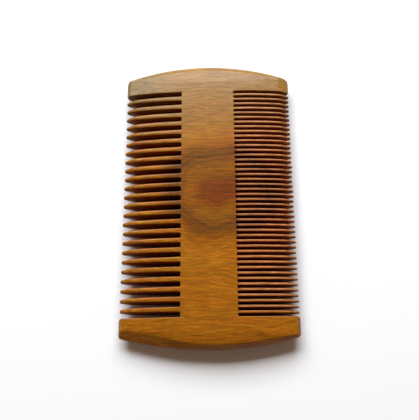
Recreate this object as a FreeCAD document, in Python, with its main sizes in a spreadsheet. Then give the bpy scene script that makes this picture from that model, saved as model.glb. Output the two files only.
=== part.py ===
import FreeCAD, Part
import math
import os
import Sketcher

# A double-sided beard comb, sawn from one flat blank of wood and shaped by hand.
# Frame: X across the comb (coarse teeth at -X, fine teeth at +X), Y along it, +Z up.
# The origin is on the flat underside, in the middle of the comb's width and length.

# Driving dimensions in millimetres, and the numbers of teeth.
SIZES = {
    "comb_width": 58,
    "thickness": 7.6,
    "row_length": 79.4,  # from the first slot's outer wall to the last slot's outer wall
    "spine_left": 8.95,  # from the middle to the roots of the coarse teeth
    "spine_right": 9.35,  # from the middle to the roots of the fine teeth
    "face_flat": 18.3,  # width of the flat field, where the faces start to curve together
    "bevel_width": 3.2,  # from the side edge in to the shoulder
    "shoulder_thickness": 4.8,
    "rear_bar_depth": 10.75,
    "front_bar_depth": 9.85,
    "rear_end_radius": 80,  # plan radius of each curved end
    "front_end_radius": 115,
    "rear_bevel_width": 4.4,  # bevel along each curved end, seen from above
    "front_bevel_width": 3.0,
    "end_rim_radius": 2.6,  # rounded rim along the curved ends
    "side_rim_radius": 1.7,  # rounded rim at the sides of the guard bars
    "corner_radius": 1.0,  # corners of the guard bars, seen from above
    "coarse_teeth": 24,
    "coarse_slot": 1.6,
    "coarse_point_length": 4.2,  # length over which a tooth narrows to its tip, seen from above
    "coarse_point_radius": 0.6,
    "fine_teeth": 44,
    "fine_slot": 1.0,
    "fine_point_length": 4.2,
    "fine_point_radius": 0.28,
    "tip_radius": 1.0,  # rounding of every tip, seen from the side
    "cut_margin": 15,  # how far a cutting profile reaches past the wood
}

REAR_ROW_END = "(Sizes.row_length - Sizes.rear_bar_depth + Sizes.front_bar_depth) / 2"
FRONT_ROW_END = "-(Sizes.row_length + Sizes.rear_bar_depth - Sizes.front_bar_depth) / 2"
COARSE_PITCH = "(Sizes.row_length - Sizes.coarse_slot) / Sizes.coarse_teeth"
FINE_PITCH = "(Sizes.row_length - Sizes.fine_slot) / Sizes.fine_teeth"

START, END, CENTRE = 1, 2, 3  # how a constraint names the points of a line or an arc
ORIGIN, X_AXIS, Y_AXIS = (-1, 1), -1, -2
HALF_TURN = FreeCAD.Rotation(FreeCAD.Vector(0, 0, 1), 180)


def make_sheet(document):
    """The spreadsheet of driving dimensions, one named cell for each."""
    sheet = document.addObject("Spreadsheet::Sheet", "Sizes")
    for row, (name, value) in enumerate(SIZES.items(), start=1):
        sheet.set(f"A{row}", name)
        sheet.set(f"B{row}", str(value))
        sheet.setAlias(f"B{row}", name)
    document.recompute()
    return sheet


def new_sketch(body, name, plane):
    """An empty sketch on one of the body's own origin planes."""
    sketch = body.newObject("Sketcher::SketchObject", name)
    support = next(f for f in body.Origin.OriginFeatures if f.Role == plane)
    sketch.AttachmentSupport = (support, [""])
    sketch.MapMode = "FlatFace"
    return sketch


def line(sketch, start, end):
    return sketch.addGeometry(Part.LineSegment(FreeCAD.Vector(*start, 0), FreeCAD.Vector(*end, 0)))


def arc(sketch, centre, radius, first_angle, last_angle):
    circle = Part.Circle(FreeCAD.Vector(*centre, 0), FreeCAD.Vector(0, 0, 1), radius)
    return sketch.addGeometry(Part.ArcOfCircle(circle, first_angle, last_angle))


def constrain(sketch, kind, *where):
    sketch.addConstraint(Sketcher.Constraint(kind, *where))


def dimension(sketch, kind, where, expression):
    """A dimension that follows the spreadsheet."""
    value = float(sketch.evalExpression(expression))
    index = sketch.addConstraint(Sketcher.Constraint(kind, *where, value))
    sketch.setExpression(f"Constraints[{index}]", expression)


def place(sketch, point, x, y):
    """Holds a point of the sketch at x, y, both given as expressions."""
    dimension(sketch, "DistanceX", (*ORIGIN, *point), x)
    dimension(sketch, "DistanceY", (*ORIGIN, *point), y)


def angle_to_tangent(corner, centre, radius):
    """Angle at the centre of a round nose to where a straight bevel from the corner above meets it."""
    run = corner[0] - centre[0]
    rise = corner[1] - centre[1]
    return math.atan2(rise, run) - math.acos(radius / math.hypot(run, rise))


def add_nose(sketch, upper_corner, lower_corner, centre, radius):
    """Two bevels that run from the corners to a round nose. Returns upper bevel, nose, lower bevel."""
    angle = angle_to_tangent(upper_corner, centre, radius)
    meeting_x = centre[0] + radius * math.cos(angle)
    meeting_rise = radius * math.sin(angle)
    upper = line(sketch, upper_corner, (meeting_x, centre[1] + meeting_rise))
    nose = arc(sketch, centre, radius, -angle, angle)
    lower = line(sketch, (meeting_x, centre[1] - meeting_rise), lower_corner)
    constrain(sketch, "Tangent", upper, END, nose, END)
    constrain(sketch, "Tangent", nose, START, lower, START)
    return upper, nose, lower


def draw_half_section(sketch, sheet, nose_radius):
    """Half of the comb's cross-section: a flat field, faces that curve together, a bevel, a nose."""
    flat = sheet.face_flat / 2
    height = sheet.thickness
    middle = height / 2
    edge = sheet.comb_width / 2
    radius = float(sketch.evalExpression(nose_radius))
    shoulder = (edge - sheet.bevel_width, middle + sheet.shoulder_thickness / 2)
    lower_shoulder = (shoulder[0], height - shoulder[1])
    run = shoulder[0] - flat
    drop = height - shoulder[1]
    face_radius = (run**2 + drop**2) / (2 * drop)
    sweep = math.asin(run / face_radius)
    up = math.pi / 2

    centre_line = line(sketch, (0, 0), (0, height))
    top_flat = line(sketch, (0, height), (flat, height))
    top_face = arc(sketch, (flat, height - face_radius), face_radius, up - sweep, up)
    upper, nose, lower = add_nose(sketch, shoulder, lower_shoulder, (edge - radius, middle), radius)
    under_face = arc(sketch, (flat, face_radius), face_radius, -up, -up + sweep)
    under_flat = line(sketch, (0, 0), (flat, 0))

    constrain(sketch, "Coincident", centre_line, START, *ORIGIN)
    constrain(sketch, "Vertical", centre_line)
    constrain(sketch, "Coincident", centre_line, END, top_flat, START)
    constrain(sketch, "Horizontal", top_flat)
    constrain(sketch, "Tangent", top_flat, END, top_face, END)
    constrain(sketch, "Coincident", top_face, START, upper, START)
    constrain(sketch, "Coincident", lower, END, under_face, END)
    constrain(sketch, "Tangent", under_face, START, under_flat, END)
    constrain(sketch, "Horizontal", under_flat)
    constrain(sketch, "Coincident", under_flat, START, *ORIGIN)

    shoulder_x = "Sizes.comb_width / 2 - Sizes.bevel_width"
    dimension(sketch, "DistanceY", (centre_line, START, centre_line, END), "Sizes.thickness")
    dimension(sketch, "DistanceX", (top_flat, START, top_flat, END), "Sizes.face_flat / 2")
    dimension(sketch, "DistanceX", (under_flat, START, under_flat, END), "Sizes.face_flat / 2")
    place(sketch, (upper, START), shoulder_x, "(Sizes.thickness + Sizes.shoulder_thickness) / 2")
    place(sketch, (lower, END), shoulder_x, "(Sizes.thickness - Sizes.shoulder_thickness) / 2")
    place(sketch, (nose, CENTRE), f"Sizes.comb_width / 2 - {nose_radius}", "Sizes.thickness / 2")
    dimension(sketch, "Radius", (nose,), nose_radius)


def make_tooth_section(document, sheet):
    """The side view that all teeth share, as a plate wider than any tooth."""
    body = document.addObject("PartDesign::Body", "tooth_section")
    sketch = new_sketch(body, "tooth_section_sketch", "XZ_Plane")
    draw_half_section(sketch, sheet, "Sizes.tip_radius")
    pad = body.newObject("PartDesign::Pad", "tooth_section_pad")
    pad.Profile = sketch
    pad.SideType = "Symmetric"
    pad.setExpression("Length", "Sizes.coarse_slot + " + COARSE_PITCH)
    return body


def make_tooth_plan(document, sheet, row, root, pitch):
    """One tooth of a row seen from above: straight sides that narrow to a rounded point."""
    half_width = f"({pitch} - Sizes.{row}_slot) / 2"
    point_start = f"Sizes.comb_width / 2 - Sizes.{row}_point_length"
    point_radius = f"Sizes.{row}_point_radius"

    body = document.addObject("PartDesign::Body", f"{row}_tooth_plan")
    sketch = new_sketch(body, f"{row}_tooth_plan_sketch", "XY_Plane")
    root_x = float(sketch.evalExpression(root))
    side_y = float(sketch.evalExpression(half_width))
    point_x = float(sketch.evalExpression(point_start))
    radius = float(sketch.evalExpression(point_radius))
    centre = (sheet.comb_width / 2 - radius, 0)

    root_line = line(sketch, (root_x, -side_y), (root_x, side_y))
    rear_side = line(sketch, (root_x, side_y), (point_x, side_y))
    rear_taper, point, front_taper = add_nose(
        sketch, (point_x, side_y), (point_x, -side_y), centre, radius
    )
    front_side = line(sketch, (point_x, -side_y), (root_x, -side_y))

    constrain(sketch, "Vertical", root_line)
    constrain(sketch, "Coincident", root_line, END, rear_side, START)
    constrain(sketch, "Horizontal", rear_side)
    constrain(sketch, "Coincident", rear_side, END, rear_taper, START)
    constrain(sketch, "Coincident", front_taper, END, front_side, START)
    constrain(sketch, "Horizontal", front_side)
    constrain(sketch, "Coincident", front_side, END, root_line, START)
    constrain(sketch, "PointOnObject", point, CENTRE, X_AXIS)
    place(sketch, (rear_side, START), root, half_width)
    dimension(sketch, "DistanceY", (*ORIGIN, root_line, START), f"-{half_width}")
    dimension(sketch, "DistanceX", (*ORIGIN, rear_taper, START), point_start)
    dimension(sketch, "DistanceX", (*ORIGIN, front_side, START), point_start)
    dimension(sketch, "DistanceX", (*ORIGIN, point, CENTRE), f"Sizes.comb_width / 2 - {point_radius}")
    dimension(sketch, "Radius", (point,), point_radius)

    pad = body.newObject("PartDesign::Pad", f"{row}_tooth_plan_pad")
    pad.Profile = sketch
    pad.setExpression("Length", "Sizes.thickness")
    return body


def make_tooth(document, name, section, plan, rotation, centre_y):
    """One tooth: the shared side view cut to its row's plan, and put in its place along the row."""
    tooth = document.addObject("Part::Common", name)
    tooth.Base = section
    tooth.Tool = plan
    tooth.Placement = FreeCAD.Placement(FreeCAD.Vector(0, 0, 0), rotation)
    tooth.setExpression("Placement.Base.y", centre_y)
    return tooth


def make_row(document, row, section, plan, rotation, pitch):
    """All the teeth of one row, numbered from the rear guard bar to the front one."""
    teeth = []
    for index in range(SIZES[f"{row}_teeth"]):
        centre_y = f"{REAR_ROW_END} - Sizes.{row}_slot / 2 - ({index} + 0.5) * {pitch}"
        name = f"{row}_tooth_{index + 1:02d}"
        teeth.append(make_tooth(document, name, section, plan, rotation, centre_y))
    return teeth


def join_in_pairs(document, teeth):
    """Groups neighbouring fine teeth, two separate solids in each group."""
    pairs = []
    for first in range(0, len(teeth), 2):
        pair = document.addObject("Part::Compound", f"fine_teeth_{first + 1:02d}_{first + 2:02d}")
        pair.Links = teeth[first : first + 2]
        pairs.append(pair)
    return pairs


def make_spine(document):
    """The flat field between the two rows of teeth."""
    spine = document.addObject("Part::Box", "spine")
    spine.setExpression("Length", "Sizes.spine_left + Sizes.spine_right")
    spine.setExpression("Width", "Sizes.row_length")
    spine.setExpression("Height", "Sizes.thickness")
    spine.setExpression("Placement.Base.x", "-Sizes.spine_left")
    spine.setExpression("Placement.Base.y", FRONT_ROW_END)
    return spine


def draw_end_cut(sketch, sheet, depth, end_radius, bevel_width):
    """What is turned away at a curved end: all that lies outside two bevels and a round rim."""
    reach = float(sketch.evalExpression(depth))
    height = sheet.thickness
    radius = sheet.end_rim_radius
    inner = reach - float(sketch.evalExpression(bevel_width))
    margin = sheet.cut_margin
    outer = reach + margin
    axis_x = reach - float(sketch.evalExpression(end_radius))

    upper_drop = line(sketch, (inner, height + margin), (inner, height))
    upper, rim, lower = add_nose(
        sketch, (inner, height), (inner, 0), (reach - radius, height / 2), radius
    )
    lower_drop = line(sketch, (inner, 0), (inner, -margin))
    bottom = line(sketch, (inner, -margin), (outer, -margin))
    far_side = line(sketch, (outer, -margin), (outer, height + margin))
    top = line(sketch, (outer, height + margin), (inner, height + margin))
    axis = line(sketch, (axis_x, 0), (axis_x, height))
    sketch.setConstruction(axis, True)

    constrain(sketch, "Vertical", upper_drop)
    constrain(sketch, "Coincident", upper_drop, END, upper, START)
    constrain(sketch, "Coincident", lower, END, lower_drop, START)
    constrain(sketch, "Vertical", lower_drop)
    constrain(sketch, "Coincident", lower_drop, END, bottom, START)
    constrain(sketch, "Horizontal", bottom)
    constrain(sketch, "Coincident", bottom, END, far_side, START)
    constrain(sketch, "Vertical", far_side)
    constrain(sketch, "Coincident", far_side, END, top, START)
    constrain(sketch, "Horizontal", top)
    constrain(sketch, "Coincident", top, END, upper_drop, START)
    constrain(sketch, "Vertical", axis)
    constrain(sketch, "PointOnObject", axis, START, X_AXIS)
    constrain(sketch, "PointOnObject", lower, END, X_AXIS)

    bevel_start = f"{depth} - {bevel_width}"
    place(sketch, (upper, START), bevel_start, "Sizes.thickness")
    dimension(sketch, "DistanceX", (*ORIGIN, lower, END), bevel_start)
    place(sketch, (rim, CENTRE), f"{depth} - Sizes.end_rim_radius", "Sizes.thickness / 2")
    dimension(sketch, "Radius", (rim,), "Sizes.end_rim_radius")
    dimension(sketch, "DistanceY", (lower_drop, END, lower_drop, START), "Sizes.cut_margin")
    dimension(sketch, "DistanceY", (upper_drop, END, upper_drop, START), "Sizes.cut_margin")
    dimension(sketch, "DistanceX", (*ORIGIN, far_side, START), f"{depth} + Sizes.cut_margin")
    dimension(sketch, "DistanceX", (axis, START, *ORIGIN), f"{end_radius} - {depth}")
    dimension(sketch, "DistanceY", (axis, START, axis, END), "Sizes.thickness")


def draw_corner_cut(sketch, sheet, depth, end_radius):
    """What is filed away where the curved end meets the side, seen from above."""
    reach = float(sketch.evalExpression(depth))
    edge = sheet.comb_width / 2
    margin = sheet.cut_margin
    radius = sheet.corner_radius
    end_arc = float(sketch.evalExpression(end_radius))
    axis_y = reach - end_arc
    centre_rise = math.sqrt((end_arc - radius) ** 2 - (edge - radius) ** 2)
    angle = math.atan2(centre_rise, edge - radius)
    centre = (edge - radius, axis_y + centre_rise)
    meeting = (end_arc * math.cos(angle), axis_y + end_arc * math.sin(angle))
    outer = (edge + margin, reach + margin)

    corner = arc(sketch, centre, radius, 0, angle)
    inner_side = line(sketch, meeting, (meeting[0], outer[1]))
    rear_side = line(sketch, (meeting[0], outer[1]), outer)
    outer_side = line(sketch, outer, (outer[0], centre[1]))
    front_side = line(sketch, (outer[0], centre[1]), (edge, centre[1]))
    end_spoke = line(sketch, (0, axis_y), meeting)
    sketch.setConstruction(end_spoke, True)

    constrain(sketch, "Coincident", corner, END, inner_side, START)
    constrain(sketch, "Vertical", inner_side)
    constrain(sketch, "Coincident", inner_side, END, rear_side, START)
    constrain(sketch, "Horizontal", rear_side)
    constrain(sketch, "Coincident", rear_side, END, outer_side, START)
    constrain(sketch, "Vertical", outer_side)
    constrain(sketch, "Coincident", outer_side, END, front_side, START)
    constrain(sketch, "Horizontal", front_side)
    constrain(sketch, "Coincident", front_side, END, corner, START)
    constrain(sketch, "Horizontal", corner, START, corner, CENTRE)
    constrain(sketch, "Coincident", end_spoke, END, corner, END)
    constrain(sketch, "PointOnObject", end_spoke, START, Y_AXIS)
    constrain(sketch, "PointOnObject", corner, CENTRE, end_spoke)

    dimension(sketch, "DistanceY", (end_spoke, START, *ORIGIN), f"{end_radius} - {depth}")
    dimension(sketch, "Distance", (end_spoke, START, end_spoke, END), end_radius)
    dimension(sketch, "Radius", (corner,), "Sizes.corner_radius")
    corner_x = "Sizes.comb_width / 2 - Sizes.corner_radius"
    dimension(sketch, "DistanceX", (*ORIGIN, corner, CENTRE), corner_x)
    outer_x = "Sizes.comb_width / 2 + Sizes.cut_margin"
    place(sketch, (rear_side, END), outer_x, f"{depth} + Sizes.cut_margin")


def make_guard_bar(document, sheet, side, rotation, row_end):
    """A guard bar: half of it cut to its curved, bevelled end and rounded corner, then mirrored."""
    depth = f"Sizes.{side}_bar_depth"
    end_radius = f"Sizes.{side}_end_radius"
    body = document.addObject("PartDesign::Body", f"{side}_guard_bar")

    section = new_sketch(body, f"{side}_bar_section", "XZ_Plane")
    draw_half_section(section, sheet, "Sizes.side_rim_radius")
    pad = body.newObject("PartDesign::Pad", f"{side}_bar_pad")
    pad.Profile = section
    pad.Reversed = True
    pad.setExpression("Length", depth)

    end_cut = new_sketch(body, f"{side}_bar_end_cut", "YZ_Plane")
    draw_end_cut(end_cut, sheet, depth, end_radius, f"Sizes.{side}_bevel_width")
    groove = body.newObject("PartDesign::Groove", f"{side}_bar_groove")
    groove.Profile = end_cut
    groove.ReferenceAxis = (end_cut, ["Axis0"])
    groove.Angle = 360

    corner_cut = new_sketch(body, f"{side}_bar_corner_cut", "XY_Plane")
    draw_corner_cut(corner_cut, sheet, depth, end_radius)
    pocket = body.newObject("PartDesign::Pocket", f"{side}_bar_pocket")
    pocket.Profile = corner_cut
    pocket.Type = "ThroughAll"
    pocket.SideType = "Symmetric"

    mirrored = body.newObject("PartDesign::Mirrored", f"{side}_bar_mirrored")
    mirrored.TransformMode = "Whole shape"
    mirror_plane = next(f for f in body.Origin.OriginFeatures if f.Role == "YZ_Plane")
    mirrored.MirrorPlane = (mirror_plane, [""])
    body.Tip = mirrored

    body.Placement = FreeCAD.Placement(FreeCAD.Vector(0, 0, 0), rotation)
    body.setExpression("Placement.Base.y", row_end)
    document.recompute()
    if not pad.Shape.Volume > groove.Shape.Volume > pocket.Shape.Volume:
        raise RuntimeError(f"a cut of the {side} guard bar removed nothing")
    return body


def check_and_export(document, nodes):
    """Stops on any failed object or shape, then writes one file for each sub-part."""
    for item in document.Objects:
        if "Invalid" in item.State or "Error" in item.State:
            raise RuntimeError(f"{item.Label} failed: {item.State}")
    for node in nodes:
        if node.Shape.isNull() or not node.Shape.isValid() or not node.Shape.Solids:
            raise RuntimeError(f"{node.Label} has no valid solid")
    os.makedirs("parts", exist_ok=True)
    for node in nodes:
        node.Shape.exportStep(f"parts/{node.Label}.step")
        print(f"{node.Label}: {len(node.Shape.Solids)} solid(s), {node.Shape.Volume:.1f} mm3")


def main():
    document = FreeCAD.newDocument("BeardComb")
    sheet = make_sheet(document)
    upright = FreeCAD.Rotation()

    section = make_tooth_section(document, sheet)
    coarse_plan = make_tooth_plan(document, sheet, "coarse", "Sizes.spine_left", COARSE_PITCH)
    fine_plan = make_tooth_plan(document, sheet, "fine", "Sizes.spine_right", FINE_PITCH)
    coarse_teeth = make_row(document, "coarse", section, coarse_plan, HALF_TURN, COARSE_PITCH)
    fine_teeth = make_row(document, "fine", section, fine_plan, upright, FINE_PITCH)

    nodes = [
        make_spine(document),
        make_guard_bar(document, sheet, "rear", upright, REAR_ROW_END),
        make_guard_bar(document, sheet, "front", HALF_TURN, FRONT_ROW_END),
    ]
    nodes += coarse_teeth
    nodes += join_in_pairs(document, fine_teeth)
    document.recompute()
    check_and_export(document, nodes)


main()
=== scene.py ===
import bmesh
import bpy
import math
import random
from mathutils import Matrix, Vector


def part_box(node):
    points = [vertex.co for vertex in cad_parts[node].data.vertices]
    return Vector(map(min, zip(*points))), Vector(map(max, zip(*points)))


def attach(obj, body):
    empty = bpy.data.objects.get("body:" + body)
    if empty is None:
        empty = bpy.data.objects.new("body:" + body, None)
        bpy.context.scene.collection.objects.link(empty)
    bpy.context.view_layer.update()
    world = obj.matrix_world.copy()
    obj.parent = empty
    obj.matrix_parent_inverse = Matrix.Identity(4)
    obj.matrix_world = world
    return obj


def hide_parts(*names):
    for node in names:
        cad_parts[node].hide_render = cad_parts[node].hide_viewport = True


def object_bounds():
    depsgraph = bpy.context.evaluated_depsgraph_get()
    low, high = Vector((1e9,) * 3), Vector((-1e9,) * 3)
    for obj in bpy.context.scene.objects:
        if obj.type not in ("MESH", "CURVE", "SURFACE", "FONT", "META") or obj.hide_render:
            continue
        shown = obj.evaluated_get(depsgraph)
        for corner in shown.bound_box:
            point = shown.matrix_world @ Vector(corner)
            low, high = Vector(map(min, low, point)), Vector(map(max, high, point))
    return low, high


# The looks of a double-sided sandalwood beard comb, lying flat on a pale table top.
# Blender works in metres; the sizes below are in millimetres, and MM turns them into metres.

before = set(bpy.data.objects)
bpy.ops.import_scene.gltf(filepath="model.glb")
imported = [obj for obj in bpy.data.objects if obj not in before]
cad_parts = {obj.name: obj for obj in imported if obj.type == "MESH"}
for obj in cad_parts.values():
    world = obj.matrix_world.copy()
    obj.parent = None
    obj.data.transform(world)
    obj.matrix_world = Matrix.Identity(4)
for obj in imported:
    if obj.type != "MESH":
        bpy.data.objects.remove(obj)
cad_low, cad_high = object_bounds()

MM = 0.001

# Sizes that the frame gives, in millimetres.
HALF_WIDTH = cad_high.x / MM
HALF_LENGTH = cad_high.y / MM
HALF_THICKNESS = (cad_high.z - cad_low.z) / 2 / MM
MIDDLE_HEIGHT = (cad_high.z + cad_low.z) / 2 / MM

# The faces: flat in the middle, then curved together towards the teeth's shoulders.
HALF_FLAT = 9.15
HALF_SHOULDER = 2.4
TOOTH_BEVEL = 3.2
FACE_RADIUS = ((HALF_WIDTH - TOOTH_BEVEL - HALF_FLAT) ** 2 + (HALF_THICKNESS - HALF_SHOULDER) ** 2) / (
    2 * (HALF_THICKNESS - HALF_SHOULDER)
)

# The teeth.
TIP_RADIUS = 1.0
POINT_LENGTH = 4.2
COARSE_POINT_RADIUS = 0.6
FINE_POINT_RADIUS = 0.28
FINE_SLOT = 1.0
COARSE_CORNER = 0.28
FINE_CORNER = 0.13
OUTWARD_WEAR = 1.5  # the corners grow by this share on the way out to the tip
ROUND_POINT_LENGTH = 6.5  # the last stretch, where the section turns fully round
ROOT_CORNER = 0.03
ROOT_BLEND = 0.9  # the first stretch, where a tooth grows out of the spine

# How uneven the hand-shaped teeth are.
MOST_SHORTENING = 0.18
POINT_LENGTH_CHANGE = (-0.6, 0.5)
CORNER_SHARE = (0.85, 1.2)
MOST_NARROWING = 0.02  # as a share of the tooth's width

# The spine's edge chamfer in the slots, and the length over which it fades beside a tooth.
SLOT_CHAMFER = 0.12
CHAMFER_FADE = 0.08

# The guard bars. Their ends are ground by hand: a steep bevel over the rim, then a shallow one
# on the face. Offset moves the arc's middle along X. Heights are measured from mid-thickness.
# Left_extra is how much wider the worn bevel is at the left side, and corner_drop how much
# lower it is at both corners.
REAR_END = {
    "radius": 80,
    "offset": -1.3,
    "wall": 1.6,
    "edge_radius": 0.9,
    "bevel_width": 1.8,
    "bevel_height": 3.15,
    "shallow_width": 5.5,
    "left_extra": 0,
    "corner_drop": 0,
}
FRONT_END = {
    "radius": 115,
    "offset": 0,
    "wall": 1.4,
    "edge_radius": 0.7,
    "bevel_width": 1.1,
    "bevel_height": 3.05,
    "shallow_width": 4.5,
    "left_extra": 2.0,
    "corner_drop": 0.45,
}
WORN_FROM = 8  # the worn bevel starts to widen here and goes on to the left side
LEVEL_HALF = 10  # the bevel's height is level this far to each side of the middle
NARROW_SIDE = {"width": 1.4, "height": 2.5, "nose": 1.2}
WIDE_SIDE = {"width": 3.4, "height": 2.6, "nose": 1.3}
CORNER_RADIUS = 1.0
INNER_CORNER_RADIUS = 0.7
INNER_ROUNDING = 0.3
CREASE_SOFTNESS = 0.14
END_CREASE_SOFTNESS = 0.05
SMALLEST_ROUNDING = 0.004

# Points closer than this are one point, and edges that turn by more than this look sharp.
MERGE_DISTANCE = 0.0005
SHARP_ANGLE = 38


def tangent_profile(distance, bevel_width, full_height, nose_radius):
    """Half thickness at a distance in from an edge: a round nose, then a bevel tangent to it."""
    reach = math.hypot(bevel_width - nose_radius, full_height)
    slope_angle = math.atan2(full_height, bevel_width - nose_radius) + math.acos(nose_radius / reach)
    touch_distance = nose_radius * (1 + math.cos(slope_angle))
    touch_height = nose_radius * math.sin(slope_angle)
    if distance < touch_distance:
        return math.sqrt(max(nose_radius**2 - (nose_radius - distance) ** 2, 0))
    slope = (full_height - touch_height) / (bevel_width - touch_distance)
    return touch_height + slope * (distance - touch_distance)


def face_height(x):
    """Half thickness of the flat or gently curved face at a place across the comb."""
    past_flat = max(abs(x) - HALF_FLAT, 0)
    return HALF_THICKNESS - FACE_RADIUS + math.sqrt(FACE_RADIUS**2 - past_flat**2)


def soft_minimum(a, b, softness):
    """The smaller of two heights, with the crease between them rounded off."""
    return (a + b - math.hypot(a - b, softness)) / 2


def smooth_step(value):
    """0 below 0, 1 above 1 and an even curve between."""
    value = min(max(value, 0), 1)
    return value * value * (3 - 2 * value)


def quarter_round(distance, radius):
    """How far a rounded edge falls back at a distance from its end."""
    inside = max(radius - distance, 0)
    return radius - math.sqrt(radius**2 - inside**2)


def nose_steps(radius, count):
    """Distances from an edge that follow a round nose evenly, from the edge to its full radius."""
    return [radius * (1 - math.cos(math.pi / 2 * i / count)) for i in range(count + 1)]


def even_steps(start, end, count):
    """Evenly spaced values after start, up to and including end."""
    return [start + (end - start) * (i + 1) / count for i in range(count)]


def mesh_from_rings(name, rings):
    """A closed, smooth-shaded piece through rings of points, which are given in millimetres."""
    shape = bmesh.new()
    rows = [[shape.verts.new(Vector(point) * MM) for point in ring] for ring in rings]
    around = len(rings[0])
    for row, next_row in zip(rows, rows[1:]):
        for i in range(around):
            j = (i + 1) % around
            shape.faces.new((row[i], row[j], next_row[j], next_row[i]))
    shape.faces.new(rows[0])
    shape.faces.new(rows[-1])
    bmesh.ops.remove_doubles(shape, verts=shape.verts, dist=MERGE_DISTANCE * MM)
    bmesh.ops.dissolve_degenerate(shape, edges=shape.edges, dist=MERGE_DISTANCE * MM)
    bmesh.ops.recalc_face_normals(shape, faces=shape.faces)
    mesh = bpy.data.meshes.new(name)
    shape.to_mesh(mesh)
    shape.free()
    mesh.shade_smooth()
    mesh.set_sharp_from_angle(angle=math.radians(SHARP_ANGLE))
    piece = bpy.data.objects.new(name, mesh)
    bpy.context.scene.collection.objects.link(piece)
    return piece


def stand_in_for(piece, node, material):
    """The finished piece takes the place of a CAD node, and takes that node's slot."""
    piece.data.materials.append(material)
    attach(piece, "root")
    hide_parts(node)


def tooth_ring(x, middle_y, half_width, half_height, corner):
    """The outline of a tooth cut across at x: a rectangle with rounded corners."""
    points_per_corner = 5
    ring = []
    for quarter in range(4):
        side_y = 1 if quarter in (0, 3) else -1
        side_z = 1 if quarter in (0, 1) else -1
        for i in range(points_per_corner):
            angle = math.pi / 2 * (quarter + i / (points_per_corner - 1))
            y = side_y * (half_width - corner) + corner * math.cos(angle)
            z = side_z * (half_height - corner) + corner * math.sin(angle)
            ring.append((x, middle_y + y, MIDDLE_HEIGHT + z))
    return ring


def make_tooth(name, root_x, middle_y, width, point_radius, corner, hand):
    """A tooth from its root at the spine to its rounded tip; hand is the shaper's small unevenness."""
    side = math.copysign(1, root_x)
    shortening = hand.uniform(0, MOST_SHORTENING)
    point_length = POINT_LENGTH + hand.uniform(*POINT_LENGTH_CHANGE)
    corner = corner * hand.uniform(*CORNER_SHARE)
    narrowing = hand.uniform(0, MOST_NARROWING) * width
    length = HALF_WIDTH - shortening - abs(root_x)
    distances = nose_steps(point_radius, 5) + even_steps(point_radius, POINT_LENGTH + 1, 11)
    distances += even_steps(distances[-1], length - ROOT_BLEND, 8)
    distances += even_steps(distances[-1], length, 4)
    rings = []
    for distance in distances:
        x = side * (HALF_WIDTH - shortening - distance)
        to_root = smooth_step((length - distance) / ROOT_BLEND)
        point = tangent_profile(distance, point_length, width / 2, point_radius)
        bevel = tangent_profile(distance, TOOTH_BEVEL, HALF_SHOULDER, TIP_RADIUS)
        half_width = max(soft_minimum(width / 2 - narrowing * to_root, point, 0.01), 0)
        half_height = max(soft_minimum(face_height(x), bevel, 0.05 * to_root), 0)
        roundness = 1 - smooth_step(distance / ROUND_POINT_LENGTH)
        full_round = min(half_width, half_height)
        worn_corner = corner * (1 + OUTWARD_WEAR * (1 - distance / length))
        rounding = ROOT_CORNER + (worn_corner - ROOT_CORNER) * to_root
        rounding = min(rounding + (full_round - rounding) * roundness, full_round)
        rings.append(tooth_ring(x, middle_y, half_width, half_height, rounding))
    return mesh_from_rings(name, rings)


def node_span(node):
    """The middle and the width of a CAD node along the comb, in millimetres."""
    low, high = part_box(node)
    return (low.y + high.y) / 2 / MM, (high.y - low.y) / MM


def nodes_named(prefix):
    """The CAD nodes whose names start with a prefix, in order."""
    return sorted(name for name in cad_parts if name.startswith(prefix))


def make_coarse_teeth(root_x, material, hand):
    """The wide teeth, one piece each. Returns each tooth's lowest and highest y."""
    edges = []
    for node in nodes_named("coarse_tooth"):
        middle_y, width = node_span(node)
        tooth = make_tooth(
            "wood_" + node, root_x, middle_y, width, COARSE_POINT_RADIUS, COARSE_CORNER, hand
        )
        stand_in_for(tooth, node, material)
        edges.append((middle_y - width / 2, middle_y + width / 2))
    return sorted(edges)


def make_fine_teeth(root_x, material, hand):
    """The narrow teeth, two apart in each piece. Returns each tooth's lowest and highest y."""
    edges = []
    for node in nodes_named("fine_teeth"):
        middle_y, pair_width = node_span(node)
        width = (pair_width - FINE_SLOT) / 2
        pair = []
        for offset in (-(width + FINE_SLOT) / 2, (width + FINE_SLOT) / 2):
            tooth_y = middle_y + offset
            pair.append(
                make_tooth("wood_" + node, root_x, tooth_y, width, FINE_POINT_RADIUS, FINE_CORNER, hand)
            )
            edges.append((tooth_y - width / 2, tooth_y + width / 2))
        with bpy.context.temp_override(active_object=pair[0], selected_editable_objects=pair):
            bpy.ops.object.join()
        stand_in_for(pair[0], node, material)
    return sorted(edges)


def chamfer_at(y, teeth):
    """The spine's edge chamfer at y: full in the slots, gone where a tooth carries the face on."""
    nearest = min(max(low - y, y - high) for low, high in teeth)
    return max(SLOT_CHAMFER * smooth_step(nearest / CHAMFER_FADE), SMALLEST_ROUNDING)


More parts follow.
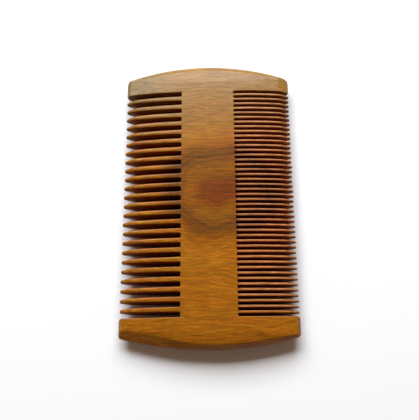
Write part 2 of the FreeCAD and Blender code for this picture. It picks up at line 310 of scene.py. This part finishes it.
def make_spine(low, high, coarse_edges, fine_edges, material):
    """The flat field between the two rows, its edges slightly chamfered where the slots end."""
    stations = {low.y / MM, high.y / MM}
    for tooth_low, tooth_high in coarse_edges + fine_edges:
        for past in (0, CHAMFER_FADE / 2, CHAMFER_FADE):
            stations |= {tooth_low - past, tooth_high + past}
    left = low.x / MM
    right = high.x / MM
    rings = []
    for y in sorted(stations):
        left_cut = chamfer_at(y, coarse_edges)
        right_cut = chamfer_at(y, fine_edges)
        half = face_height(0)
        outline = [
            (left + left_cut, half),
            (right - right_cut, half),
            (right, half - right_cut),
            (right, right_cut - half),
            (right - right_cut, -half),
            (left + left_cut, -half),
            (left, left_cut - half),
            (left, half - left_cut),
        ]
        rings.append([(x, y, MIDDLE_HEIGHT + z) for x, z in outline])
    spine = mesh_from_rings("wood_spine", rings)
    stand_in_for(spine, "spine", material)


def bar_columns(left_side, right_side):
    """Places across a guard bar, close together over its two side bevels."""
    columns = []
    for direction, side in ((-1, left_side), (1, right_side)):
        distances = nose_steps(side["nose"], 8)
        distances += even_steps(distances[-1], side["width"] + 0.6, 10)
        distances += even_steps(distances[-1], HALF_WIDTH - HALF_FLAT - 1, 18)
        columns += [direction * (HALF_WIDTH - distance) for distance in distances]
    columns += even_steps(-HALF_FLAT - 1, HALF_FLAT + 1, 21)[:-1]
    return sorted(columns)


def end_height(from_rim, x, end):
    """Half thickness near a curved end: a low wall, a rounded edge, a steep bevel and a shallow one."""
    extra = end["left_extra"] * smooth_step((WORN_FROM - x) / (WORN_FROM + HALF_WIDTH))
    width = end["bevel_width"] + extra
    drop = end["corner_drop"] * smooth_step((abs(x) - LEVEL_HALF) / (HALF_WIDTH - LEVEL_HALF))
    wall = end["wall"] - extra / 2 - drop
    bevel_height = end["bevel_height"] - drop
    steep = wall + tangent_profile(from_rim, width, bevel_height - wall, end["edge_radius"])
    rise = (HALF_THICKNESS - bevel_height) / (end["shallow_width"] - width)
    shallow = bevel_height + rise * (from_rim - width)
    return soft_minimum(steep, shallow, END_CREASE_SOFTNESS)


def side_height(from_side, x, side):
    """Half thickness near a side of a guard bar."""
    bevel = tangent_profile(from_side, side["width"], side["height"], side["nose"])
    return soft_minimum(face_height(x), bevel, CREASE_SOFTNESS * min(bevel, 1))


def bar_lines(x, inner_y, radius, arc_centre, end):
    """Places from a guard bar's inner edge out to its curved rim, close together over both edges."""
    reach = x - end["offset"]
    bevel_steps = nose_steps(end["edge_radius"], 7)
    bevel_steps += even_steps(end["edge_radius"], end["shallow_width"] + 0.5, 17)
    depth = math.sqrt(radius**2 - reach**2) - arc_centre - inner_y
    squeeze = min(1, (depth - 1) / bevel_steps[-1])
    lines = [inner_y + step for step in (0, 0.03, 0.08, 0.15, 0.23, INNER_ROUNDING, 0.5)]
    outer_lines = []
    for step in reversed(bevel_steps):
        outer_lines.append(math.sqrt((radius - step * squeeze) ** 2 - reach**2) - arc_centre)
    return lines + even_steps(lines[-1], outer_lines[0], 12)[:-1] + outer_lines


def make_guard_bar(node, direction, end, left_side, right_side, roots, material):
    """A curved end bar: bevelled along the curved end and at each side, its inner edges rounded."""
    low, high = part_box(node)
    inner_edge = min(abs(low.y), abs(high.y)) / MM
    arc_centre = end["radius"] - HALF_LENGTH
    rings = []
    for x in bar_columns(left_side, right_side):
        from_side = HALF_WIDTH - abs(x)
        side = left_side if x < 0 else right_side
        radius = end["radius"] - quarter_round(from_side, CORNER_RADIUS)
        inner_y = inner_edge + quarter_round(from_side, INNER_CORNER_RADIUS)
        past_root = max(roots[0] - x, x - roots[1]) / INNER_ROUNDING
        inner_radius = max(INNER_ROUNDING * smooth_step(past_root), SMALLEST_ROUNDING)
        upper = []
        lower = []
        for y in bar_lines(x, inner_y, radius, arc_centre, end):
            from_rim = max(radius - math.hypot(x - end["offset"], y + arc_centre), 0)
            over_end = end_height(from_rim, x, end)
            over_side = side_height(from_side, x, side)
            height = soft_minimum(over_end, over_side, CREASE_SOFTNESS * min(over_end, over_side, 1))
            height = max(height - quarter_round(y - inner_y, inner_radius), 0)
            upper.append((x, direction * y, MIDDLE_HEIGHT + height))
            lower.append((x, direction * y, MIDDLE_HEIGHT - height))
        rings.append(upper + lower[::-1])
    bar = mesh_from_rings("wood_" + node, rings)
    stand_in_for(bar, node, material)


def srgb(red, green, blue):
    """A colour as it looks on a screen, 0 to 255, as the linear colour that the shader takes."""
    linear = []
    for value in (red, green, blue):
        share = value / 255
        linear.append(share / 12.92 if share <= 0.04045 else ((share + 0.055) / 1.055) ** 2.4)
    return (*linear, 1)


def add_node(tree, kind, inputs=None, **settings):
    """Adds a shader node; an input is either a value or another node's output."""
    node = tree.nodes.new(kind)
    for name, value in settings.items():
        setattr(node, name, value)
    for socket, value in (inputs or {}).items():
        if isinstance(value, bpy.types.NodeSocket):
            tree.links.new(value, node.inputs[socket])
        else:
            node.inputs[socket].default_value = value
    return node


def calculate(tree, operation, first, second=0.0, third=0.0, clamp=False):
    """The output of a Math node."""
    inputs = {0: first, 1: second, 2: third}
    return add_node(tree, "ShaderNodeMath", inputs, operation=operation, use_clamp=clamp).outputs[0]


def combined(tree, operation, first, second):
    """The vector that a Vector Math node makes of two others."""
    node = add_node(tree, "ShaderNodeVectorMath", {0: first, 1: second}, operation=operation)
    return node.outputs["Vector"]


def noise(tree, vector, scale, detail=2.0, roughness=0.5, distortion=0.0):
    """The grey output of a Noise node, 0 to 1."""
    inputs = {
        "Vector": vector,
        "Scale": scale,
        "Detail": detail,
        "Roughness": roughness,
        "Distortion": distortion,
    }
    return add_node(tree, "ShaderNodeTexNoise", inputs).outputs["Fac"]


def stretched(tree, vector, scale, shift=(0, 0, 0)):
    """The coordinates scaled by a different amount along each axis."""
    inputs = {"Vector": vector, "Scale": scale, "Location": shift}
    return add_node(tree, "ShaderNodeMapping", inputs).outputs["Vector"]


def remap(tree, value, low, high, new_low, new_high):
    """Values from low to high turned smoothly into values from new_low to new_high."""
    inputs = {"Value": value, "From Min": low, "From Max": high, "To Min": new_low, "To Max": new_high}
    node = add_node(tree, "ShaderNodeMapRange", inputs, interpolation_type="SMOOTHSTEP")
    return node.outputs["Result"]


def colour_bands(tree, place, bands):
    """A colour ramp from a list of places, 0 to 1, and colours."""
    node = add_node(tree, "ShaderNodeValToRGB", {"Fac": place})
    ramp = node.color_ramp
    ramp.interpolation = "B_SPLINE"
    ramp.elements[0].position, ramp.elements[0].color = bands[0]
    ramp.elements[1].position, ramp.elements[1].color = bands[-1]
    for position, colour in bands[1:-1]:
        ramp.elements.new(position).color = colour
    return node.outputs["Color"]


def mixed(tree, factor, first, second, blend="MIX"):
    """Two colours mixed; a factor of 0 gives the first."""
    node = add_node(tree, "ShaderNodeMix", data_type="RGBA", blend_type=blend)
    for index, value in ((0, factor), (6, first), (7, second)):
        if isinstance(value, bpy.types.NodeSocket):
            tree.links.new(value, node.inputs[index])
        else:
            node.inputs[index].default_value = value
    return node.outputs[2]


def tinted(tree, factor, colour, tint):
    """A colour multiplied by a tint where the factor is 1, and left alone where it is 0."""
    return mixed(tree, factor, colour, tint, "MULTIPLY")


def scaled_colour(tree, colour, amount):
    """A colour made darker or lighter by an amount that varies over the surface."""
    node = add_node(tree, "ShaderNodeVectorMath", {0: colour, "Scale": amount}, operation="SCALE")
    return node.outputs["Vector"]


# The wood's figure: oval growth rings round one point, which lies right of the spine's middle.
FIGURE_CENTRE = (4.5, 2.0)
FIGURE_STRETCH = 1.25
FIGURE_REACH = 50

# Slow waves bend the rings by up to about half of these amounts, and the fibres by a share of that.
WAVE_SCALE = 0.06
RING_BEND = (9, 9, 3)
FIBRE_BEND = (0.45, 0.45, 0.45)

# The grain. Scale is how often the noise repeats in a millimetre along X, Y and Z: it is drawn out
# along X, the way the teeth run. Shift keeps one layer of grain from repeating another.
FIBRES = {"scale": (0.13, 2.4, 1.6), "shift": (0, 0, 0), "detail": 4.0, "roughness": 0.6}
FINE_FIBRES = {"scale": (0.4, 6.0, 5.0), "shift": (0, 0, 0), "detail": 2.0, "roughness": 0.6}
PORES = {"scale": (0.7, 6.5, 4.0), "shift": (31, 7, 3), "detail": 1.0, "roughness": 0.5}
FLECKS = {"scale": (0.45, 3.6, 3.0), "shift": (5, 90, 11), "detail": 2.0, "roughness": 0.5}
STREAKS = {"scale": (0.06, 0.4, 0.3), "shift": (2, 40, 8), "detail": 2.0, "roughness": 0.5}

# Wood colours by distance from the figure's middle, then tints and colours of single regions; some of
# these also paint sheen and shade.
HEARTWOOD = (
    (0, srgb(111, 54, 21)),
    (5.5, srgb(112, 58, 18)),
    (8, srgb(127, 76, 18)),
    (10.5, srgb(136, 83, 17)),
    (12.5, srgb(106, 65, 24)),
    (14.7, srgb(103, 62, 20)),
    (17, srgb(136, 79, 14)),
    (20, srgb(153, 94, 19)),
    (24, srgb(158, 100, 22)),
    (29, srgb(145, 87, 17)),
    (33, srgb(152, 94, 19)),
    (38, srgb(148, 90, 17)),
    (50, srgb(147, 88, 16)),
)
RED_SIDE = (1.03, 0.84, 0.85, 1)
OLIVE = (0.98, 1.03, 1.0, 1)
RUSSET = (1.03, 0.94, 1.0, 1)
# The rear end is mixed towards this: partly its paler tone, partly painted sheen.
PALE_WOOD_AND_SHEEN = srgb(148, 121, 72)
GREY_CORNER = (0.74, 0.88, 0.9, 1)
# Painted sheen: the tops of the fine teeth are mixed towards this paler, pinker colour.
PAINTED_RIDGE_SHEEN = srgb(196, 133, 88)
# Slot walls: partly their darker sawn tone, partly painted shade in the narrow slots.
SAWN_AND_SHADED_WALL = (0.85, 0.55, 0.48, 1)


def grain_noise(tree, place, grain):
    """One layer of the grain, 0 to 1."""
    drawn_out = stretched(tree, place, grain["scale"], grain["shift"])
    return noise(tree, drawn_out, 1.0, grain["detail"], grain["roughness"])


def wood_places(tree, place):
    """Coordinates bent by slow waves: those of the growth rings, and those of the fibres."""
    wave = add_node(tree, "ShaderNodeTexNoise", {"Vector": place, "Scale": WAVE_SCALE, "Detail": 2.0})
    bend = combined(tree, "SUBTRACT", wave.outputs["Color"], (0.5, 0.5, 0.5))
    bend = combined(tree, "MULTIPLY", bend, RING_BEND)
    ring_place = combined(tree, "ADD", place, bend)
    fibre_place = combined(tree, "ADD", place, combined(tree, "MULTIPLY", bend, FIBRE_BEND))
    return ring_place, fibre_place


def growth_rings(tree, ring_place):
    """The distance from the middle of the figure, and the wood's colour at that distance."""
    centred = combined(tree, "SUBTRACT", ring_place, (*FIGURE_CENTRE, 0))
    oval = stretched(tree, centred, (1 / FIGURE_STRETCH, 1, 0.3))
    ring = add_node(tree, "ShaderNodeVectorMath", {0: oval}, operation="LENGTH").outputs["Value"]
    ring_share = calculate(tree, "DIVIDE", ring, FIGURE_REACH, clamp=True)
    bands = [(radius / FIGURE_REACH, colour) for radius, colour in HEARTWOOD]
    return ring, colour_bands(tree, ring_share, bands)


def grain_brightness(tree, ring, fibre_place, fibres, fine_fibres, pore_mask):
    """How light the wood is: thin growth lines, fibres, darker pores and paler flecks."""
    growth = add_node(
        tree, "ShaderNodeTexNoise", {"W": ring, "Scale": 1.1, "Detail": 3.0}, noise_dimensions="1D"
    ).outputs["Fac"]
    fleck_mask = remap(tree, grain_noise(tree, fibre_place, FLECKS), 0.58, 0.74, 0.0, 1.0)
    layers = (
        remap(tree, fibres, 0.3, 0.7, 0.7, 1.3),
        remap(tree, fine_fibres, 0.3, 0.7, 0.84, 1.16),
        remap(tree, pore_mask, 0.0, 1.0, 1.0, 0.7),
        remap(tree, fleck_mask, 0.0, 1.0, 1.0, 1.18),
    )
    brightness = calculate(tree, "MULTIPLY_ADD", growth, 0.5, 0.75)
    for layer in layers:
        brightness = calculate(tree, "MULTIPLY", brightness, layer)
    return brightness


def regional_colour(tree, colour, brightness, ring, ring_place, fibre_place):
    """Olive and russet streaks, a redder fine side, a paler rear end plus painted sheen, a greyer rear
    left corner.
    """
    streaks = grain_noise(tree, fibre_place, STREAKS)
    tint = mixed(tree, remap(tree, streaks, 0.35, 0.65, 0.0, 1.0), OLIVE, RUSSET)
    colour = tinted(tree, 1.0, colour, tint)
    across = add_node(tree, "ShaderNodeSeparateXYZ", {"Vector": ring_place})
    redness = remap(tree, across.outputs["X"], 4.0, 14.0, 0.0, 1.0)
    redness = calculate(tree, "MULTIPLY", redness, remap(tree, ring, 20.0, 40.0, 1.0, 0.2))
    colour = tinted(tree, redness, colour, RED_SIDE)
    # Paler towards the rear end: partly the wood's paler tone, partly painted sheen.
    pale_wood_and_sheen = remap(tree, across.outputs["Y"], 12.0, 45.0, 0.0, 0.6)
    colour = mixed(tree, pale_wood_and_sheen, colour, scaled_colour(tree, PALE_WOOD_AND_SHEEN[:3], brightness))
    rearward = remap(tree, across.outputs["Y"], 28.0, 40.0, 0.0, 1.0)
    leftward = remap(tree, across.outputs["X"], -26.0, -4.0, 1.0, 0.0)
    return tinted(tree, calculate(tree, "MULTIPLY", rearward, leftward), colour, GREY_CORNER)


def surface_masks(tree, place, normal, teeth_end):
    """How far a surface is a flat face, how far a slot's wall, and where the fine teeth get painted
    sheen.
    """
    at = add_node(tree, "ShaderNodeSeparateXYZ", {"Vector": place})
    towards = add_node(tree, "ShaderNodeSeparateXYZ", {"Vector": normal})
    from_middle = calculate(tree, "ABSOLUTE", at.outputs["Y"])
    in_slots = remap(tree, from_middle, teeth_end + 0.4, teeth_end + 0.6, 1.0, 0.0)
    in_rows = remap(tree, from_middle, teeth_end - 0.6, teeth_end - 0.4, 1.0, 0.0)
    facing_slot = remap(tree, calculate(tree, "ABSOLUTE", towards.outputs["Y"]), 0.55, 0.95, 0.0, 1.0)
    facing_slot = calculate(tree, "MULTIPLY", facing_slot, in_slots)
    facing_up = remap(tree, calculate(tree, "ABSOLUTE", towards.outputs["Z"]), 0.4, 0.9, 0.0, 1.0)
    # Where the painted sheen goes: the up-facing tops of the fine teeth, from just past the spine.
    ridge_sheen = remap(tree, at.outputs["X"], HALF_FLAT + 0.3, HALF_FLAT + 1.5, 0.0, 0.42)
    ridge_sheen = calculate(tree, "MULTIPLY", calculate(tree, "MULTIPLY", ridge_sheen, in_rows), facing_up)
    return facing_up, facing_slot, ridge_sheen


def sawn_and_painted_light_colour(tree, colour, brightness, facing_up, facing_slot, ridge_sheen):
    """Painted sheen on the fine teeth's tops, slot walls darker by sawn tone and painted shade, and
    painted shade on faces that turn away from up.
    """
    # Painted sheen on the fine teeth's tops.
    colour = mixed(tree, ridge_sheen, colour, scaled_colour(tree, PAINTED_RIDGE_SHEEN[:3], brightness))
    # Slot walls darker: partly sawn tone, partly painted shade.
    colour = tinted(tree, facing_slot, colour, SAWN_AND_SHADED_WALL)
    # Painted shade: faces that turn away from straight up, such as rims, flanks and walls, are made
    # darker.
    return scaled_colour(tree, colour, remap(tree, facing_up, 0.0, 1.0, 0.78, 1.0))


def polish_wood(tree, shader, fibres, pore_mask, facing_up, facing_slot):
    """The faces are polished, the edges only sanded, and pores and slot walls are duller still."""
    gloss = remap(tree, fibres, 0.3, 0.7, 0.26, 0.2)
    gloss = calculate(tree, "ADD", gloss, remap(tree, facing_up, 0.0, 1.0, 0.2, 0.0))
    gloss = calculate(tree, "MULTIPLY_ADD", facing_slot, 0.2, gloss)
    gloss = calculate(tree, "MULTIPLY_ADD", pore_mask, 0.12, gloss, clamp=True)
    tree.links.new(gloss, shader.inputs["Roughness"])
    shader.inputs["IOR"].default_value = 1.5
    shader.inputs["Specular IOR Level"].default_value = 0.1
    shader.inputs["Coat Weight"].default_value = 0.12
    shader.inputs["Coat Roughness"].default_value = 0.14


def raise_grain(tree, shader, fibres, fine_fibres, pore_mask):
    """The slight relief of the fibres, with the pores as pits."""
    relief = calculate(tree, "MULTIPLY_ADD", fine_fibres, 0.35, calculate(tree, "MULTIPLY", fibres, 0.5))
    relief = calculate(tree, "MULTIPLY_ADD", pore_mask, -0.5, relief)
    bump = add_node(tree, "ShaderNodeBump", {"Height": relief, "Strength": 0.25, "Distance": 0.05 * MM})
    tree.links.new(bump.outputs["Normal"], shader.inputs["Normal"])


def make_sandalwood(teeth_end):
    """Green sandalwood, hand polished; teeth_end is how far the rows reach along Y, in millimetres."""
    material = bpy.data.materials.new("sandalwood")
    material.use_nodes = True
    tree = material.node_tree
    shader = tree.nodes["Principled BSDF"]
    coordinates = add_node(tree, "ShaderNodeTexCoord").outputs
    place = stretched(tree, coordinates["Object"], (1 / MM, 1 / MM, 1 / MM))
    ring_place, fibre_place = wood_places(tree, place)
    ring, colour = growth_rings(tree, ring_place)
    fibres = grain_noise(tree, fibre_place, FIBRES)
    fine_fibres = grain_noise(tree, fibre_place, FINE_FIBRES)
    pore_mask = remap(tree, grain_noise(tree, fibre_place, PORES), 0.63, 0.74, 0.0, 1.0)
    brightness = grain_brightness(tree, ring, fibre_place, fibres, fine_fibres, pore_mask)
    colour = scaled_colour(tree, colour, brightness)
    colour = regional_colour(tree, colour, brightness, ring, ring_place, fibre_place)
    facing_up, facing_slot, ridge_sheen = surface_masks(tree, place, coordinates["Normal"], teeth_end)
    colour = sawn_and_painted_light_colour(tree, colour, brightness, facing_up, facing_slot, ridge_sheen)
    tree.links.new(colour, shader.inputs["Base Color"])
    polish_wood(tree, shader, fibres, pore_mask, facing_up, facing_slot)
    raise_grain(tree, shader, fibres, fine_fibres, pore_mask)
    return material


# The table top, the light and the camera. The top lies just under the comb, so the two never meet.
TABLE_HALF = 1200
TABLE_HEIGHT = -0.02
TABLE_THICKNESS = 10
WINDOW = {
    "place": (-80, 715, 645),
    "target": (0, 20, 0),
    "width": 1000,
    "height": 580,
    "power": 19.5,
    "colour": (0.93, 0.97, 1.0),
}
HORIZON_COLOUR = (0.33, 0.325, 0.315, 1)
OVERHEAD_COLOUR = (0.165, 0.1, 0.06, 1)
CAMERA_PLACE = (8.778, -67.707, 198.27)
CAMERA_TURN = (18.1764, 2.6039, -0.4390)
CAMERA_LENS = 51.906
SENSOR_WIDTH = 36


def make_floor():
    """A pale matt table top."""
    signs = ((-1, -1), (1, -1), (1, 1), (-1, 1))
    rings = []
    for height in (TABLE_HEIGHT, TABLE_HEIGHT - TABLE_THICKNESS):
        rings.append([(x * TABLE_HALF, y * TABLE_HALF, height) for x, y in signs])
    floor = mesh_from_rings("table_top", rings)
    material = bpy.data.materials.new("table_paint")
    material.use_nodes = True
    tree = material.node_tree
    shader = tree.nodes["Principled BSDF"]
    coordinates = add_node(tree, "ShaderNodeTexCoord")
    mottle = noise(tree, coordinates.outputs["Object"], 6.0, 2.0)
    shade = mixed(tree, mottle, (0.83, 0.84, 0.86, 1), (0.86, 0.865, 0.88, 1))
    tree.links.new(shade, shader.inputs["Base Color"])
    shader.inputs["Roughness"].default_value = 0.9
    shader.inputs["Specular IOR Level"].default_value = 0.0
    floor.data.materials.append(material)


def aim(thing, place, target):
    """Puts a light at a place and turns it towards a target."""
    thing.location = Vector(place) * MM
    direction = Vector(target) * MM - thing.location
    thing.rotation_euler = direction.to_track_quat("-Z", "Y").to_euler()


def make_softbox(name, place, target, width, height, power, colour):
    """A soft studio light: an evenly glowing rectangle, its sizes in millimetres."""
    light = bpy.data.lights.new(name, "AREA")
    light.shape = "RECTANGLE"
    light.size = width * MM
    light.size_y = height * MM
    light.energy = power
    light.color = colour
    lamp = bpy.data.objects.new(name, light)
    bpy.context.scene.collection.objects.link(lamp)
    aim(lamp, place, target)


def make_lights():
    """One large soft light behind the comb, a little to its left, and a room that is palest low down."""
    make_softbox("window_light", **WINDOW)
    world = bpy.data.worlds.new("studio")
    world.use_nodes = True
    tree = world.node_tree
    direction = add_node(tree, "ShaderNodeTexCoord").outputs["Generated"]
    upward = add_node(tree, "ShaderNodeSeparateXYZ", {"Vector": direction}).outputs["Z"]
    above_horizon = remap(tree, upward, 0.25, 0.5, 0.0, 1.0)
    shade = mixed(tree, above_horizon, HORIZON_COLOUR, OVERHEAD_COLOUR)
    tree.links.new(shade, tree.nodes["Background"].inputs["Color"])
    bpy.context.scene.world = world


def make_camera():
    """The camera stands over the near end of the comb and looks down at its middle."""
    camera = bpy.data.cameras.new("camera")
    camera.lens = CAMERA_LENS
    camera.sensor_width = SENSOR_WIDTH
    camera.clip_start = 1 * MM
    stand = bpy.data.objects.new("camera", camera)
    bpy.context.scene.collection.objects.link(stand)
    stand.location = Vector(CAMERA_PLACE) * MM
    stand.rotation_euler = [math.radians(angle) for angle in CAMERA_TURN]
    bpy.context.scene.camera = stand


def make_comb():
    """All the wooden pieces, each where its CAD node is."""
    spine_low, spine_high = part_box("spine")
    sandalwood = make_sandalwood(spine_high.y / MM)
    hand = random.Random(7)
    roots = (spine_low.x / MM, spine_high.x / MM)
    coarse_edges = make_coarse_teeth(roots[0], sandalwood, hand)
    fine_edges = make_fine_teeth(roots[1], sandalwood, hand)
    make_spine(spine_low, spine_high, coarse_edges, fine_edges, sandalwood)
    make_guard_bar("rear_guard_bar", 1, REAR_END, NARROW_SIDE, WIDE_SIDE, roots, sandalwood)
    make_guard_bar("front_guard_bar", -1, FRONT_END, NARROW_SIDE, NARROW_SIDE, roots, sandalwood)


make_comb()
make_floor()
make_lights()
make_camera()
bpy.context.scene.view_settings.view_transform = "Standard"
